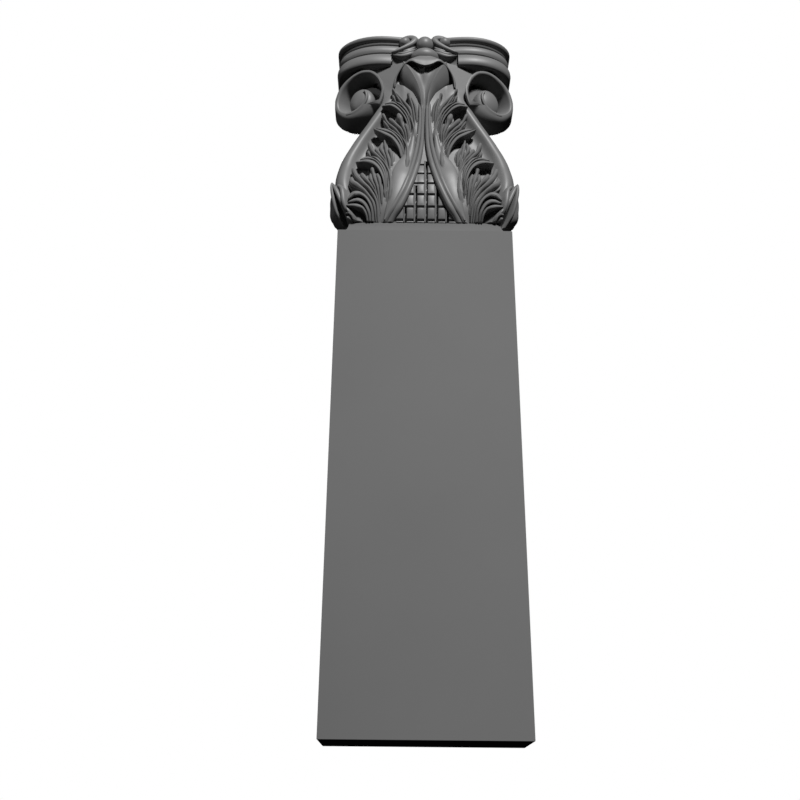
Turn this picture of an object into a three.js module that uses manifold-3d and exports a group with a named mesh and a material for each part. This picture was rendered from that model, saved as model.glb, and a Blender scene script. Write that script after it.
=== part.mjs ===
// Carved pilaster: a plain flat shaft with a carved capital, set with its back against a wall.
// Millimetres, +Z up. The front looks along -Y, and the origin is the middle of the shaft's underside.
import * as THREE from 'three';
import { mergeVertices } from 'three/addons/utils/BufferGeometryUtils.js';
import Module from 'manifold-3d';

const wasm = await Module();
wasm.setup();

// Shaft: a plain slab whose upper edge is a cove on the front and the two sides
const shaftWidth = 150;
const shaftDepth = 60;
const shaftHeight = 428;
const coveStepIn = 9;
const coveRise = 13.6;
const coveFacets = 5;

// The capital's flat bed lies on the shaft with this joint between them
const bedGap = 0.3;

// Bell: the swelling block between the bed and the abacus, with a rounded ridge along its edges
const bellHeight = 164.6;
const ridgeRise = 2.2;
const channelDepth = 2;
const bellColumns = 14;
const bellRows = 13;

// Abacus: the moulded slab on top, bowed forward at two places and rounded at its corners
const abacusHeight = 33.4;
const abacusWidth = 165;
const abacusReach = 7.5;
const abacusBow = 81;
const abacusHollow = 3;
const abacusCornerDepth = 26;
const nicheWidth = 61.6;
const nicheDepth = 2.5;
const nicheHeight = 14;

// Volutes: the two rolls at the front corners, their faces turned outward and a little down
const voluteRadius = 32;
const voluteEndRadius = 13;
const voluteTurns = 1.07;
const voluteThickness = 3.4;
const voluteOutward = 30;
const voluteDown = 10;
const voluteFloor = 30;
const eyeRadius = 12.5;
const eyeHeight = 7;

// Carving on the front: ribs, leaves and the lattice between them
const ribWidth = 9.4;
const ribRise = 4.2;
const leafletWidth = 8.5;
const leafRise = 4.2;
const cornerLeafWidth = 20;
const cornerLeafRise = 6.4;
const sideLeafWidth = 17;
const petalWidth = 17;
const hoodWidth = 15;
const hoodRise = 5.4;
const hoodLift = 12;
const petalLift = 2;
const latticePitch = 9.6;
const latticeRow = 10.7;
const grooveWidth = 1.7;
const grooveDepth = 3;
const ballRadius = 8;
const beadRadius = 4.6;
const scrollRadius = 8;
const scrollThickness = 1.9;

// How deep the carved strands root in the block behind them
const rootDepth = 6.5;

// Heights and faces that the sizes above give
const halfShaft = shaftWidth / 2;
const wall = shaftDepth / 2;
const bed = shaftHeight + bedGap;
const abacusBottom = bed + bellHeight;
const top = abacusBottom + abacusHeight;
const neckHalf = halfShaft - coveStepIn;
const neckFront = -wall + coveStepIn;
const abacusFront = -wall - abacusReach;
const halfAbacus = abacusWidth / 2;

const paint = { color: 0x8c8c8c, roughness: 0.55, metalness: 0 };
const forward = new THREE.Vector3(0, -1, 0);
const upward = new THREE.Vector3(0, 0, 1);

// A smooth curve through pairs of (share of the height, value), read back as a function
function profile(pairs) {
  const curve = new THREE.SplineCurve(pairs.map((pair) => new THREE.Vector2(...pair)));
  const samples = curve.getPoints(pairs.length * 8);
  return (share) => {
    const at = THREE.MathUtils.clamp(share, samples[0].x, samples.at(-1).x);
    const next = Math.max(1, samples.findIndex((sample) => sample.x >= at));
    const [low, high] = [samples[next - 1], samples[next]];
    return THREE.MathUtils.mapLinear(at, low.x, high.x, low.y, high.y);
  };
}

// The bell's half width as shares of the neck's, and how far its front leans out, in bell heights
const bellWidth = profile([
  [0, 1], [0.1, 1.13], [0.22, 1.2], [0.38, 1.14], [0.49, 1.02],
  [0.56, 0.92], [0.65, 0.78], [0.76, 0.63], [0.86, 0.6], [1, 0.72],
]);
const bellLean = profile([
  [0, 0], [0.065, 0.029], [0.13, 0.044], [0.2, 0.054], [0.27, 0.047],
  [0.34, 0.034], [0.5, 0.027], [0.7, 0.049], [0.85, 0.073], [1, 0.097],
]);

function bellHalf(share) {
  return neckHalf * bellWidth(share);
}

function bellFront(share) {
  return neckFront - bellHeight * bellLean(share);
}

// A spot on the bell's front: x in neck half widths, height in bell heights, lifted off the face
function onBell(x, share, lift = 0) {
  return new THREE.Vector3(x * neckHalf, bellFront(share) - lift, bed + share * bellHeight);
}

// The volume a closed geometry encloses, negative when its faces point inward
function signedVolume(geometry) {
  const position = geometry.getAttribute('position');
  const corner = (i) => new THREE.Vector3().fromBufferAttribute(position, geometry.index.getX(i));
  let volume = 0;
  for (let i = 0; i < geometry.index.count; i += 3) {
    volume += corner(i).dot(corner(i + 1).cross(corner(i + 2))) / 6;
  }
  return volume;
}

// A closed geometry as a solid, its faces turned outward first
function solid(geometry) {
  const indices = Uint32Array.from(geometry.index.array);
  if (signedVolume(geometry) < 0) indices.reverse();
  const vertProperties = Float32Array.from(geometry.getAttribute('position').array);
  return new wasm.Manifold(new wasm.Mesh({ numProp: 3, vertProperties, triVerts: indices }));
}

// Moves every vertex of a closed geometry to the place that a function gives for it
function shaped(geometry, place) {
  geometry.deleteAttribute('normal');
  geometry.deleteAttribute('uv');
  const merged = mergeVertices(geometry);
  const position = merged.getAttribute('position');
  for (let i = 0; i < position.count; i += 1) {
    const moved = place(new THREE.Vector3().fromBufferAttribute(position, i));
    position.setXYZ(i, moved.x, moved.y, moved.z);
  }
  return merged;
}

// A closed skin of so many sides and steps, each point placed by its angle, step and reach
function skin(sides, steps, place) {
  const tube = new THREE.CylinderGeometry(1, 1, 1, sides, steps);
  return shaped(tube, (v) => place(Math.atan2(v.x, v.z), v.y + 0.5, Math.hypot(v.x, v.z)));
}

// A carved strand along a path: rounded across, standing out of the face that it roots in
function strand(path, form) {
  const { sides = 8, steps = 8, width, rise, out = forward, groove = 0, root = rootDepth } = form;
  return skin(sides, steps, (around, along, reach) => {
    const side = path.getTangent(along).cross(out).normalize();
    const up = Math.sin(around);
    const height = up > 0 ? rise(along) * up * (1 - groove * up ** 16) : root * up;
    const spread = (reach * width(along) * Math.cos(around)) / 2;
    return path.getPoint(along).addScaledVector(side, spread).addScaledVector(out, reach * height);
  });
}

function ball(centre, radius, squash = new THREE.Vector3(1, 1, 1), facets = 10) {
  const sphere = new THREE.SphereGeometry(radius, facets, facets / 2);
  return shaped(sphere, (v) => v.multiply(squash).add(centre));
}

function mirrored(geometry) {
  return geometry.clone().scale(-1, 1, 1);
}

// A leaf's width or height along its length: narrow at the root, full, then drawn to a point
function leafTaper(full) {
  return (along) => full * (0.16 + 0.84 * Math.sin(Math.PI * (0.1 + 0.86 * along) ** 1.3));
}

function shaft() {
  const box = new THREE.BoxGeometry(1, 1, 1, 1, 1, coveFacets + 1);
  return shaped(box, (v) => {
    const level = Math.round((v.z + 0.5) * (coveFacets + 1));
    const turn = (Math.max(0, level - 1) / coveFacets) * (Math.PI / 2);
    const stepIn = level > 1 ? coveStepIn * Math.sin(turn) : 0;
    const rise = shaftHeight - coveRise * Math.cos(turn);
    const y = v.y > 0 ? wall : -wall + stepIn;
    return new THREE.Vector3(Math.sign(v.x) * (halfShaft - stepIn), y, level ? rise : 0);
  });
}

// The bell's front across its width: the edge rounds back, then the ridge, then its channel
function edgeRelief(across) {
  const inward = 1 - Math.abs(across);
  const ridge = ridgeRise * Math.exp(-(((inward - 0.09) / 0.06) ** 2));
  const channel = channelDepth * Math.exp(-(((inward - 0.24) / 0.09) ** 2));
  const round = 2 * ridgeRise * Math.max(0, 1 - inward / 0.05);
  return ridge - channel - round;
}

// Its columns stand closer towards the edges, and the ridge leaves the bell where a volute starts
function bell() {
  const box = new THREE.BoxGeometry(2, 1, 1, bellColumns, 1, bellRows);
  return shaped(box, (v) => {
    const share = v.z + 0.5;
    const across = Math.sign(v.x) * Math.abs(v.x) ** 0.45;
    const fade = 1 - THREE.MathUtils.smoothstep(share, 0.8, 0.9);
    const front = bellFront(share) - fade * edgeRelief(across);
    return new THREE.Vector3(across * bellHalf(share), v.y > 0 ? wall : front, bed + share * bellHeight);
  });
}

// The abacus in plan: a shallow hollow in the middle, two bows, round corners and straight sides
function abacusPlan() {
  const plan = new THREE.Path();
  const bow = abacusBow / 2;
  const cornerY = abacusFront + abacusCornerDepth;
  plan.moveTo(halfAbacus, wall);
  plan.lineTo(halfAbacus, cornerY);
  plan.absellipse(bow, cornerY, halfAbacus - bow, abacusCornerDepth, 0, -Math.PI / 2, true);
  plan.quadraticCurveTo(0, abacusFront + 2 * abacusHollow, -bow, abacusFront);
  plan.absellipse(-bow, cornerY, halfAbacus - bow, abacusCornerDepth, -Math.PI / 2, -Math.PI, true);
  plan.lineTo(-halfAbacus, wall);
  return plan;
}

// Its moulding from the bottom up: share of the height, and how far the face is set back
const abacusMoulding = [
  [0, 3.2], [0.05, 1], [0.17, 0], [0.29, 1], [0.35, 3.4], [0.4, 3], [0.5, 2.6],
  [0.6, 4.6], [0.66, 3.6], [0.72, 4.8], [0.79, 2.4], [0.88, 0.4], [0.95, 1], [1, 3],
];

function abacus() {
  const outline = abacusPlan().getSpacedPoints(28);
  const steps = abacusMoulding.length - 1;
  return skin(outline.length, steps, (around, along, reach) => {
    const turn = THREE.MathUtils.euclideanModulo(around / (2 * Math.PI), 1);
    const point = outline[Math.round(turn * outline.length) % outline.length];
    const [share, setBack] = abacusMoulding[Math.round(along * steps)];
    const x = point.x * (1 - setBack / halfAbacus) * reach;
    const y = wall - (wall - point.y) * (1 - setBack / (wall - abacusFront)) * reach;
    return new THREE.Vector3(x, reach ? y : 0, abacusBottom + share * abacusHeight);
  });
}

// The step in the lower mouldings that makes room for the ornament in the middle
function niche() {
  const depth = 2 * abacusHeight;
  const box = new THREE.BoxGeometry(nicheWidth, depth, nicheHeight);
  return box.translate(0, abacusFront + nicheDepth - depth / 2, abacusBottom + nicheHeight / 2);
}

// The right volute's face: its middle, and the directions across, up and out of its plane
const outwardTurn = THREE.MathUtils.degToRad(voluteOutward);
const downTurn = THREE.MathUtils.degToRad(voluteDown);
const voluteOut = new THREE.Vector3(Math.sin(outwardTurn), -Math.cos(outwardTurn), -Math.tan(downTurn));
voluteOut.normalize();
const voluteAcross = upward.clone().cross(voluteOut).normalize();
const voluteUp = voluteOut.clone().cross(voluteAcross);
const voluteCentre = new THREE.Vector3(
  neckHalf * bellWidth(0.84) + 0.8 * voluteRadius,
  abacusFront + 0.53 * voluteRadius,
  abacusBottom - 0.81 * voluteRadius,
);
const eyeOffset = -eyeRadius / 3;
const eyeCentre = voluteCentre.clone()
  .addScaledVector(voluteAcross, eyeOffset).addScaledVector(voluteUp, eyeOffset);
const bellSideTurn = 0.35;

// A point of the spiral, from its start beside the bell up over the top and round inward
function spiralPoint(share, inset) {
  const angle = Math.PI + bellSideTurn - share * (voluteTurns * 2 * Math.PI + bellSideTurn);
  const radius = voluteRadius * (voluteEndRadius / voluteRadius) ** share - inset;
  return new THREE.Vector2(Math.cos(angle), Math.sin(angle)).multiplyScalar(radius);
}

// Carries a flat outline from the volute's turned face along its axis back to the wall
function rolled(outline, face) {
  const shape = new THREE.Shape(outline);
  const block = new THREE.ExtrudeGeometry(shape, { depth: 1, bevelEnabled: false });
  return shaped(block, (v) => {
    const spot = voluteCentre.clone().addScaledVector(voluteAcross, v.x).addScaledVector(voluteUp, v.y);
    const depth = v.z > 0.5 ? wall : face(spot.y);
    return spot.addScaledVector(voluteOut, (depth - spot.y) / voluteOut.y);
  });
}

// The band, the plug that closes it at the recess's floor, and the domed eye on its boss
function volute() {
  const steps = 23;
  const along = Array.from({ length: steps + 1 }, (_, i) => i / steps);
  const outer = along.map((share) => spiralPoint(share, 0));
  const inner = along.map((share) => spiralPoint(share, voluteThickness)).reverse();
  const band = rolled([...outer, ...inner], (y) => y);
  const disc = outer.slice(0, Math.ceil(steps / voluteTurns) - 2);
  const plug = rolled(disc, (y) => Math.max(y + voluteThickness / 2, abacusFront + voluteFloor));
  const rim = new THREE.EllipseCurve(eyeOffset, eyeOffset, eyeRadius, eyeRadius).getPoints(14).slice(1);
  const boss = rolled(rim, (y) => y + eyeHeight);
  const eye = shaped(new THREE.SphereGeometry(1, 12, 5), (v) => eyeCentre.clone()
    .addScaledVector(voluteAcross, v.x * eyeRadius).addScaledVector(voluteUp, v.y * eyeRadius)
    .addScaledVector(voluteOut, v.z * eyeHeight - eyeHeight));
  return [band, plug, boss, eye];
}

// The rib that frames the lattice: one for each side, meeting above it and rising to the flute
const ribSpots = [
  [0.57, 0.0], [0.43, 0.075], [0.3, 0.17], [0.16, 0.29],
  [0.075, 0.41], [0.05, 0.52], [0.045, 0.66], [0.07, 0.76],
];
const ribPath = new THREE.CatmullRomCurve3(ribSpots.map((spot) => onBell(...spot)));

function rib() {
  const width = (along) => ribWidth * (1 - 0.42 * along);
  return strand(ribPath, { sides: 12, steps: 8, width, rise: () => ribRise, groove: 0.3 });
}

// The smooth leaf face between the rib and the lobes
function leafFace() {
  const spots = [[0.52, 0.01], [0.4, 0.16], [0.3, 0.32], [0.2, 0.48], [0.13, 0.64]];
  const path = new THREE.CatmullRomCurve3(spots.map((spot) => onBell(...spot)));
  const width = (along) => 2 * ribWidth * (1 - 0.55 * along);
  return strand(path, { sides: 6, steps: 6, width, rise: () => leafRise / 2 });
}

// Four lobes up each side, given by root and tip, each with leaflets fanned about its tip
const lobes = [
  { root: [0.64, 0.0], tip: [0.97, 0.29], inner: [0.7, 0.3], outer: [1.03, 0.085] },
  { root: [0.46, 0.07], tip: [0.76, 0.48], inner: [0.54, 0.51], outer: [0.915, 0.354] },
  { root: [0.27, 0.32], tip: [0.58, 0.665], inner: [0.37, 0.666], outer: [0.69, 0.572] },
  { root: [0.17, 0.56], tip: [0.445, 0.826], inner: [0.24, 0.804], outer: [0.58, 0.712] },
];

function leaflet(root, tip, bow, width) {
  const middle = [THREE.MathUtils.lerp(root[0], tip[0], bow), THREE.MathUtils.lerp(root[1], tip[1], 0.6)];
  const path = new THREE.CatmullRomCurve3([onBell(...root), onBell(...middle), onBell(...tip, leafRise / 2)]);
  return strand(path, { sides: 6, steps: 4, width: leafTaper(width), rise: leafTaper(leafRise) });
}

function lobe({ root, tip, inner, outer }) {
  const rootIn = [root[0] - 0.02, THREE.MathUtils.lerp(root[1], inner[1], 0.3)];
  const rootOut = [root[0] + 0.03, root[1]];
  const between = [0.6 * tip[0] + 0.4 * outer[0] + 0.02, (tip[1] + outer[1]) / 2];
  return [
    leaflet(rootIn, inner, 0.3, leafletWidth),
    leaflet(root, tip, 0.25, 1.2 * leafletWidth),
    leaflet(root, between, 0.35, leafletWidth),
    leaflet(rootOut, outer, 0.45, leafletWidth),
  ];
}

// The leaf that folds round each lower corner, and the plainer leaves on the side faces
function cornerLeaf() {
  const out = new THREE.Vector3(1, -1, 0).normalize();
  const corner = (share, sunk) => {
    const back = sunk * cornerLeafRise;
    return new THREE.Vector3(bellHalf(share) - back, bellFront(share) + back, bed + share * bellHeight);
  };
  const spots = [corner(0.004, 0.6), corner(0.09, 0.3), corner(0.17, 0.3), corner(0.25, 0)];
  const path = new THREE.CatmullRomCurve3(spots);
  const [width, rise] = [leafTaper(cornerLeafWidth), leafTaper(cornerLeafRise)];
  return strand(path, { sides: 8, steps: 5, width, rise, out, groove: 0.25 });
}

function sideLeaf(y, height) {
  const out = new THREE.Vector3(1, 0, 0);
  const spot = (share) => new THREE.Vector3(bellHalf(share), y, bed + share * bellHeight);
  const path = new THREE.CatmullRomCurve3([spot(0.004), spot(height / 3), spot(height / 1.5), spot(height)]);
  const [width, rise] = [leafTaper(sideLeafWidth), leafTaper(leafRise)];
  return strand(path, { sides: 8, steps: 4, width, rise, out, groove: 0.3 });
}

// Petals on both sides of the flute, and the hood of the curled leaf tip over them
function petal() {
  const spots = [onBell(0.07, 0.68), onBell(0.12, 0.8), onBell(0.26, 0.95, petalLift)];
  const path = new THREE.CatmullRomCurve3(spots);
  const width = (along) => petalWidth * (0.24 + 0.76 * along);
  const rise = (along) => (ribRise * (1 + along)) / 1.4;
  return strand(path, { sides: 8, steps: 5, width, rise, groove: 0.2 });
}

function hood() {
  const spots = [[0.43, 0.85, 0.1], [0.4, 0.93, 0.5], [0.26, 0.995, 0.8], [0.12, 0.985, 0.95], [0, 0.965, 1]];
  const half = spots.map(([across, share, lift]) => onBell(across, share, lift * hoodLift));
  const other = half.slice(0, -1).reverse().map((spot) => new THREE.Vector3(-spot.x, spot.y, spot.z));
  const path = new THREE.CatmullRomCurve3([...half, ...other]);
  const swell = (along) => 0.35 + 0.65 * Math.sin(Math.PI * along);
  const width = (along) => hoodWidth * swell(along);
  const rise = (along) => hoodRise * swell(along);
  return strand(path, { sides: 8, steps: 12, width, rise, root: 3 * rootDepth });
}

// The ball and its flat dome on the abacus, with a small scroll and bead on each side
function crest() {
  const dome = new THREE.Vector3(0, abacusFront + abacusHollow, abacusBottom + 0.21 * abacusHeight);
  const centre = new THREE.Vector3(0, abacusFront - 1, abacusBottom + 0.62 * abacusHeight);
  return [ball(dome, 1.5 * ballRadius, new THREE.Vector3(1, 0.9, 0.6)), ball(centre, ballRadius)];
}

function scroll() {
  const beadHeight = abacusBottom + 0.77 * abacusHeight;
  const bead = new THREE.Vector3(0.29 * neckHalf, abacusFront + abacusHollow / 2, beadHeight);
  const ring = (degrees, share) => new THREE.Vector3(
    bead.x - share * scrollRadius * Math.cos(THREE.MathUtils.degToRad(degrees)),
    bead.y,
    bead.z + share * scrollRadius * Math.sin(THREE.MathUtils.degToRad(degrees)),
  );
  const path = new THREE.CatmullRomCurve3([
    ring(-135, 2.1), ring(-100, 1.25), ring(-50, 1.05), ring(0, 1.02),
    ring(50, 1), ring(100, 0.92), ring(150, 0.8),
  ]);
  const width = (along) => scrollThickness * (2.4 - along);
  const rise = () => 1.6 * scrollThickness;
  const ribbon = strand(path, { sides: 6, steps: 9, width, rise, root: 2 * rootDepth });
  const foldPath = new THREE.LineCurve3(ring(-125, 2.4), ring(-75, 1.5));
  const fold = strand(foldPath, { sides: 6, steps: 2, width: () => beadRadius * 1.5, rise: () => leafRise });
  return [ball(bead, beadRadius), ribbon, fold];
}

// A groove of the lattice, following the bell's front between two heights
function latticeGroove(x, width, low, high) {
  const box = new THREE.BoxGeometry(width, 1, 1, 1, 1, high - low > width / bellHeight ? 5 : 1);
  return shaped(box, (v) => {
    const share = THREE.MathUtils.lerp(low, high, v.z + 0.5);
    const y = v.y > 0 ? bellFront(share) + grooveDepth : -shaftDepth;
    return new THREE.Vector3(x + v.x, y, bed + share * bellHeight);
  });
}

// The lattice fills the space between the two ribs, up to where they meet
function latticeGrooves() {
  const apex = 0.4;
  const ribSamples = ribPath.getPoints(60);
  const ribAt = (share) => ribSamples.find((spot) => spot.z >= bed + share * bellHeight).x;
  const ribTop = (x) => {
    const spot = ribSamples.find((sample) => sample.x <= x + grooveWidth) ?? ribSamples.at(-1);
    return (spot.z - bed) / bellHeight;
  };
  const grooves = [-2, -1, 0, 1, 2].map((column) => {
    const x = column * latticePitch;
    return latticeGroove(x, grooveWidth, 0, Math.min(apex, ribTop(Math.abs(x))));
  });
  const rowShare = latticeRow / bellHeight;
  for (let low = 0.3 * rowShare; low < apex; low += rowShare) {
    grooves.push(latticeGroove(0, 2 * ribAt(low), low, low + grooveWidth / bellHeight));
  }
  return grooves;
}

// Everything on the capital is one solid: what repeats is made once and mirrored
function capital() {
  const oneSide = [
    ...volute(), rib(), leafFace(), ...lobes.flatMap(lobe), cornerLeaf(),
    sideLeaf(-0.1 * shaftDepth, 0.4), sideLeaf(0.25 * shaftDepth, 0.32), petal(), ...scroll(),
  ];
  let ground = solid(bell());
  for (const groove of latticeGrooves()) ground = ground.subtract(solid(groove));
  ground = ground.add(solid(abacus()).subtract(solid(plain(niche()))));
  for (const form of [...oneSide, ...oneSide.map(mirrored), hood(), ...crest()]) {
    ground = ground.add(solid(form));
  }
  return ground.intersect(solid(plain(reach())));
}

// The space the capital may fill: above its bed and in front of the wall
function reach() {
  const size = new THREE.Vector3(2 * abacusWidth, 4 * shaftDepth, top - bed);
  return new THREE.BoxGeometry(...size).translate(0, wall - size.y / 2, bed + size.z / 2);
}

// A box as one closed skin, where it is
function plain(box) {
  return shaped(box, (v) => v);
}

// A solid's triangles as a geometry, flat-shaded
function surface(body) {
  const { vertProperties, triVerts, numProp } = body.getMesh();
  const geometry = new THREE.BufferGeometry();
  geometry.setAttribute('position', new THREE.BufferAttribute(vertProperties, numProp));
  geometry.setIndex(new THREE.BufferAttribute(triVerts, 1));
  return geometry;
}

function piece(name, geometry) {
  const mesh = new THREE.Mesh(geometry, new THREE.MeshStandardMaterial(paint));
  mesh.name = name;
  return mesh;
}

const pilaster = new THREE.Group();
pilaster.add(piece('shaft', surface(solid(shaft()))));
pilaster.add(piece('capital', surface(capital())));

export default pilaster;
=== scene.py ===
# %% [markdown]
# # A carved pilaster and its capital
# The object is a plain flat shaft that carries a carved capital, painted one even grey.
# The solids from the CAD step are the frame. This lesson dresses them: it carves the
# capital again, much finer, as one closed skin in the very place of the solid.

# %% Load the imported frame
import bisect
import math

import bmesh
import bpy
from mathutils import Matrix, Vector


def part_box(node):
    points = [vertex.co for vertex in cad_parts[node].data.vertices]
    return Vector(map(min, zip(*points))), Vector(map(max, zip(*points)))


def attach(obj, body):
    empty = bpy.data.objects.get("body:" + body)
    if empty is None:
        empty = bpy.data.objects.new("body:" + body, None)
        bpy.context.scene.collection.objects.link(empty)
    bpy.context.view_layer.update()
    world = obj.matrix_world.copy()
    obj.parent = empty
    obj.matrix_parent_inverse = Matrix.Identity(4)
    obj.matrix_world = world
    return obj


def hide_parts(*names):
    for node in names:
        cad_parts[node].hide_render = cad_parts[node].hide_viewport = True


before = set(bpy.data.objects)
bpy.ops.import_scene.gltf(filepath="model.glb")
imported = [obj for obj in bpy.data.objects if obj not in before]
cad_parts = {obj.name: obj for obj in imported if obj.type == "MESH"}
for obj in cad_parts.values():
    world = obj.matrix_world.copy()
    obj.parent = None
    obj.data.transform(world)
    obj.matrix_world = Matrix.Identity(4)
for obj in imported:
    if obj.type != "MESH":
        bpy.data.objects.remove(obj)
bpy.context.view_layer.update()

# %% [markdown]
# ## Camera
# The picture was taken from below, close by, and turned up by 24 degrees, which makes the
# upright edges run together. The camera stands where the vanishing points of the shaft's
# edges put it, and it has their focal length. Nothing is shifted.

# %% The camera
camera_data = bpy.data.cameras.new("camera")
camera_data.sensor_width = 36
camera_data.lens = 43.456
camera_place = (-0.02001, -0.7280, -0.0563)
pitch, roll_angle = math.radians(24.01), math.radians(0.545)
camera = bpy.data.objects.new("camera", camera_data)
camera.matrix_world = (
    Matrix.Translation(camera_place)
    @ Matrix.Rotation(math.pi / 2 + pitch, 4, "X")
    @ Matrix.Rotation(roll_angle, 4, "Z")
)
camera_data.clip_start = 0.05
camera_data.clip_end = 20
bpy.context.scene.collection.objects.link(camera)
bpy.context.scene.camera = camera
print("camera at", tuple(round(part, 3) for part in camera.matrix_world.translation))

# %% [markdown]
# ## Light
# The picture has a white background, one key light from the front and a little to the
# right, and almost nothing from below: the undersides of the carving are black. So a sun
# does the work here, softened by its angle, and the world is white for the camera but
# nearly dark for the object. A weak sun from the left keeps the faces on that side dark
# grey, as in the picture. A third one comes from behind and above, for views that the
# picture doesn't show, and it can't reach any face that looks to the front.

# %% Lamps and world
def sun(name, azimuth, elevation, strength, softness):
    lamp = bpy.data.lights.new(name, "SUN")
    lamp.energy = strength
    lamp.angle = math.radians(softness)
    turned = bpy.data.objects.new(name, lamp)
    toward = Vector((
        math.sin(math.radians(azimuth)) * math.cos(math.radians(elevation)),
        -math.cos(math.radians(azimuth)) * math.cos(math.radians(elevation)),
        math.sin(math.radians(elevation)),
    ))
    turned.rotation_euler = toward.to_track_quat("Z", "Y").to_euler()
    bpy.context.scene.collection.objects.link(turned)


sun("key", azimuth=14, elevation=30, strength=4.9, softness=7)
sun("from_left", azimuth=-70, elevation=15, strength=0.4, softness=20)
sun("from_behind", azimuth=180, elevation=35, strength=1.6, softness=20)

world = bpy.data.worlds.new("studio")
world.use_nodes = True
bpy.context.scene.world = world
nodes, links = world.node_tree.nodes, world.node_tree.links
nodes.clear()
seen = nodes.new("ShaderNodeBackground")
seen.inputs["Color"].default_value = (1, 1, 1, 1)
seen.inputs["Strength"].default_value = 1.0
fill = nodes.new("ShaderNodeBackground")
fill.inputs["Color"].default_value = (1, 1, 1, 1)
fill.inputs["Strength"].default_value = 0.006
sight = nodes.new("ShaderNodeLightPath")
choice = nodes.new("ShaderNodeMixShader")
world_out = nodes.new("ShaderNodeOutputWorld")
links.new(sight.outputs["Is Camera Ray"], choice.inputs["Fac"])
links.new(fill.outputs[0], choice.inputs[1])
links.new(seen.outputs[0], choice.inputs[2])
links.new(choice.outputs[0], world_out.inputs["Surface"])
bpy.context.scene.view_settings.view_transform = "Standard"
print("three suns and a white world")

# %% [markdown]
# ## Floor
# The pilaster stands on a plain pale floor. The camera stands lower than the floor, so the
# floor lets through every ray that comes from below, and it throws no light up at the
# carving, because the picture has none.

# %% The floor
def closed_material(name):
    made = bpy.data.materials.new(name)
    made.use_nodes = True
    made.node_tree.nodes.clear()
    return made, made.node_tree.nodes, made.node_tree.links


floor_paint, nodes, links = closed_material("floor_paint")
pale = nodes.new("ShaderNodeBsdfDiffuse")
pale.inputs["Color"].default_value = (0.8, 0.8, 0.8, 1)
clear = nodes.new("ShaderNodeBsdfTransparent")
side = nodes.new("ShaderNodeNewGeometry")
either = nodes.new("ShaderNodeMixShader")
surface = nodes.new("ShaderNodeOutputMaterial")
links.new(side.outputs["Backfacing"], either.inputs["Fac"])
links.new(pale.outputs[0], either.inputs[1])
links.new(clear.outputs[0], either.inputs[2])
links.new(either.outputs[0], surface.inputs["Surface"])

floor_mesh = bmesh.new()
bmesh.ops.create_grid(floor_mesh, x_segments=1, y_segments=1, size=6)
bmesh.ops.translate(floor_mesh, verts=floor_mesh.verts, vec=(0, 0, -0.0003))
floor_data = bpy.data.meshes.new("floor")
floor_mesh.to_mesh(floor_data)
floor_mesh.free()
floor = bpy.data.objects.new("floor", floor_data)
floor.data.materials.append(floor_paint)
floor.visible_diffuse = floor.visible_glossy = False
bpy.context.scene.collection.objects.link(floor)
print("floor under the shaft, open to a camera below it")

# %% [markdown]
# ## Sizes
# Every form below is placed in millimetres on the capital's own block, and it is turned
# into metres once, at the end. The sizes that the frame gives are read from it: the bed
# that the capital lies on, its top and the wall behind it.

# %% Sizes of the block
to_metres = 0.001
capital_low, capital_high = (corner / to_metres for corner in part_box("capital"))
shaft_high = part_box("shaft")[1] / to_metres
bed, top, wall = capital_low.z, capital_high.z, capital_high.y
abacus_height = 33.4
bell_height = top - bed - abacus_height
abacus_bottom = top - abacus_height
cove_in = 9.0
neck_half = shaft_high.x - cove_in
neck_front = -wall + cove_in
abacus_front = -37.5
half_abacus = 82.5
front = Vector((0, -1, 0))
print("bell", round(bell_height, 1), "mm high, neck", round(2 * neck_half), "mm wide")

# %% [markdown]
# `smooth` draws a soft curve through a few pairs of numbers, as a carver does with a bent
# lath. It gives the bell its outline: how wide it is, in shares of the neck, and how far
# it leans forward, in shares of its height.

# %% Soft curves and the bell's outline
def smooth(pairs):
    knots = [knot for knot, _ in pairs]
    values = [value for _, value in pairs]
    last = len(pairs) - 1

    def slope(i):
        low, high = max(i - 1, 0), min(i + 1, last)
        return (values[high] - values[low]) / (knots[high] - knots[low])

    def at(knot):
        knot = min(max(knot, knots[0]), knots[-1])
        i = min(max(bisect.bisect_right(knots, knot), 1), last)
        span = knots[i] - knots[i - 1]
        t = (knot - knots[i - 1]) / span
        start, end = slope(i - 1) * span, slope(i) * span
        return (
            values[i - 1] * (2 * t**3 - 3 * t**2 + 1)
            + start * (t**3 - 2 * t**2 + t)
            + values[i] * (3 * t**2 - 2 * t**3)
            + end * (t**3 - t**2)
        )

    return at


bell_width = smooth([
    (0, 1), (0.1, 1.13), (0.22, 1.2), (0.38, 1.14), (0.49, 1.02),
    (0.56, 0.92), (0.65, 0.78), (0.76, 0.63), (0.86, 0.6), (1, 0.72),
])
bell_lean = smooth([
    (0, 0), (0.065, 0.029), (0.13, 0.044), (0.2, 0.054), (0.27, 0.047),
    (0.34, 0.034), (0.5, 0.027), (0.7, 0.049), (0.85, 0.073), (1, 0.097),
])


def bell_half(height):
    return neck_half * bell_width(height / bell_height)


def bell_front(height):
    return neck_front - bell_height * bell_lean(height / bell_height)


def on_bell(x, height, lift=0.0):
    """A spot over the bell's front: millimetres from the middle, above the bed, off the face."""
    return Vector((x, bell_front(height) - lift, bed + height))


print("widest part of the bell", round(2 * bell_half(0.22 * bell_height)), "mm")

# %% [markdown]
# ## Closed skins
# Each carved form is a closed skin: a grid that is bent round until its two long edges
# meet, and whose ends are then shut. The grid comes from one operator, and a small function
# says where each of its corners goes. A form that stands on both sides of the middle is
# made once and mirrored, and its faces are turned about so that they look outward again.

# %% Helpers that make a closed skin
forms = []
weld = 0.02


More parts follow.
